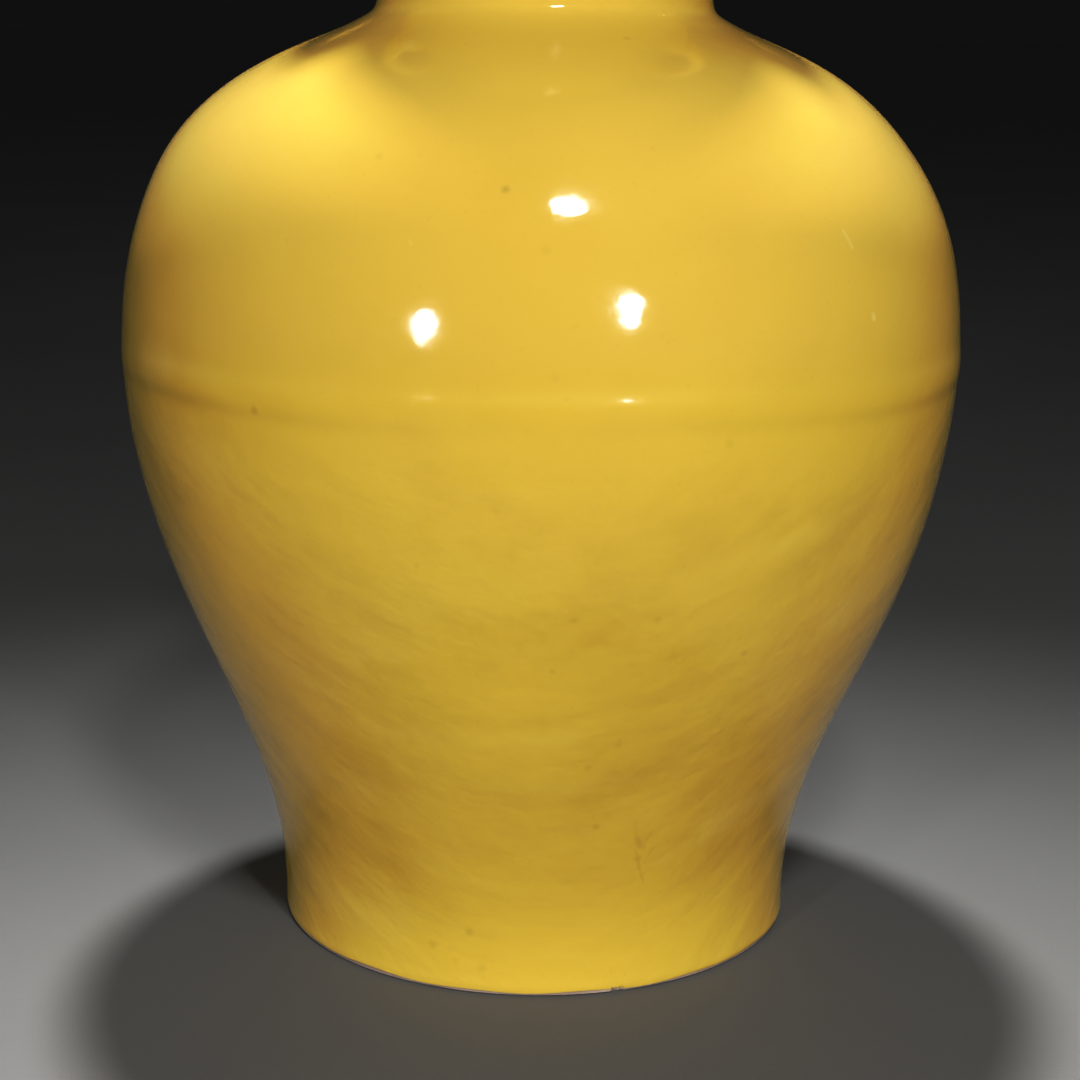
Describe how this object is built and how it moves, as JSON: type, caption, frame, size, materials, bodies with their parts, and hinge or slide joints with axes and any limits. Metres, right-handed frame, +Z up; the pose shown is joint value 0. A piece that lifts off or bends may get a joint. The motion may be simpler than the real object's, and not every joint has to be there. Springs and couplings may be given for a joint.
{
  "type": "twin-handled vase",
  "caption": "Glazed baluster vase with a full shoulder, a flared neck and a bent strap handle on each side of the neck, to hold flowers or stand as an ornament.",
  "frame": {"origin": "middle of the circle that the foot stands on, on the surface under it", "axes": "+Z up along the pot's turning axis; X through the two handles; the picture is taken from -Y"},
  "size_m": [0.2634, 0.2634, 0.408],
  "materials": {
    "yellow_glaze": "glossy warm yellow glaze, paler where it is lit and olive where it is thick",
    "white_glaze": "glossy off-white glaze",
    "foot_glaze": "glossy yellow glaze down to a bare, sanded bearing edge"
  },
  "bodies": {
    "root": {"foot_ring": "foot_glaze", "base": "white_glaze", "lower_body": "yellow_glaze", "shoulder": "yellow_glaze", "neck": "yellow_glaze", "right_handle_strap": "yellow_glaze", "right_handle_upper_pad": "yellow_glaze", "right_handle_lower_pad": "yellow_glaze", "left_handle_strap": "yellow_glaze", "left_handle_upper_pad": "yellow_glaze", "left_handle_lower_pad": "yellow_glaze"}
  },
  "joints": []
}
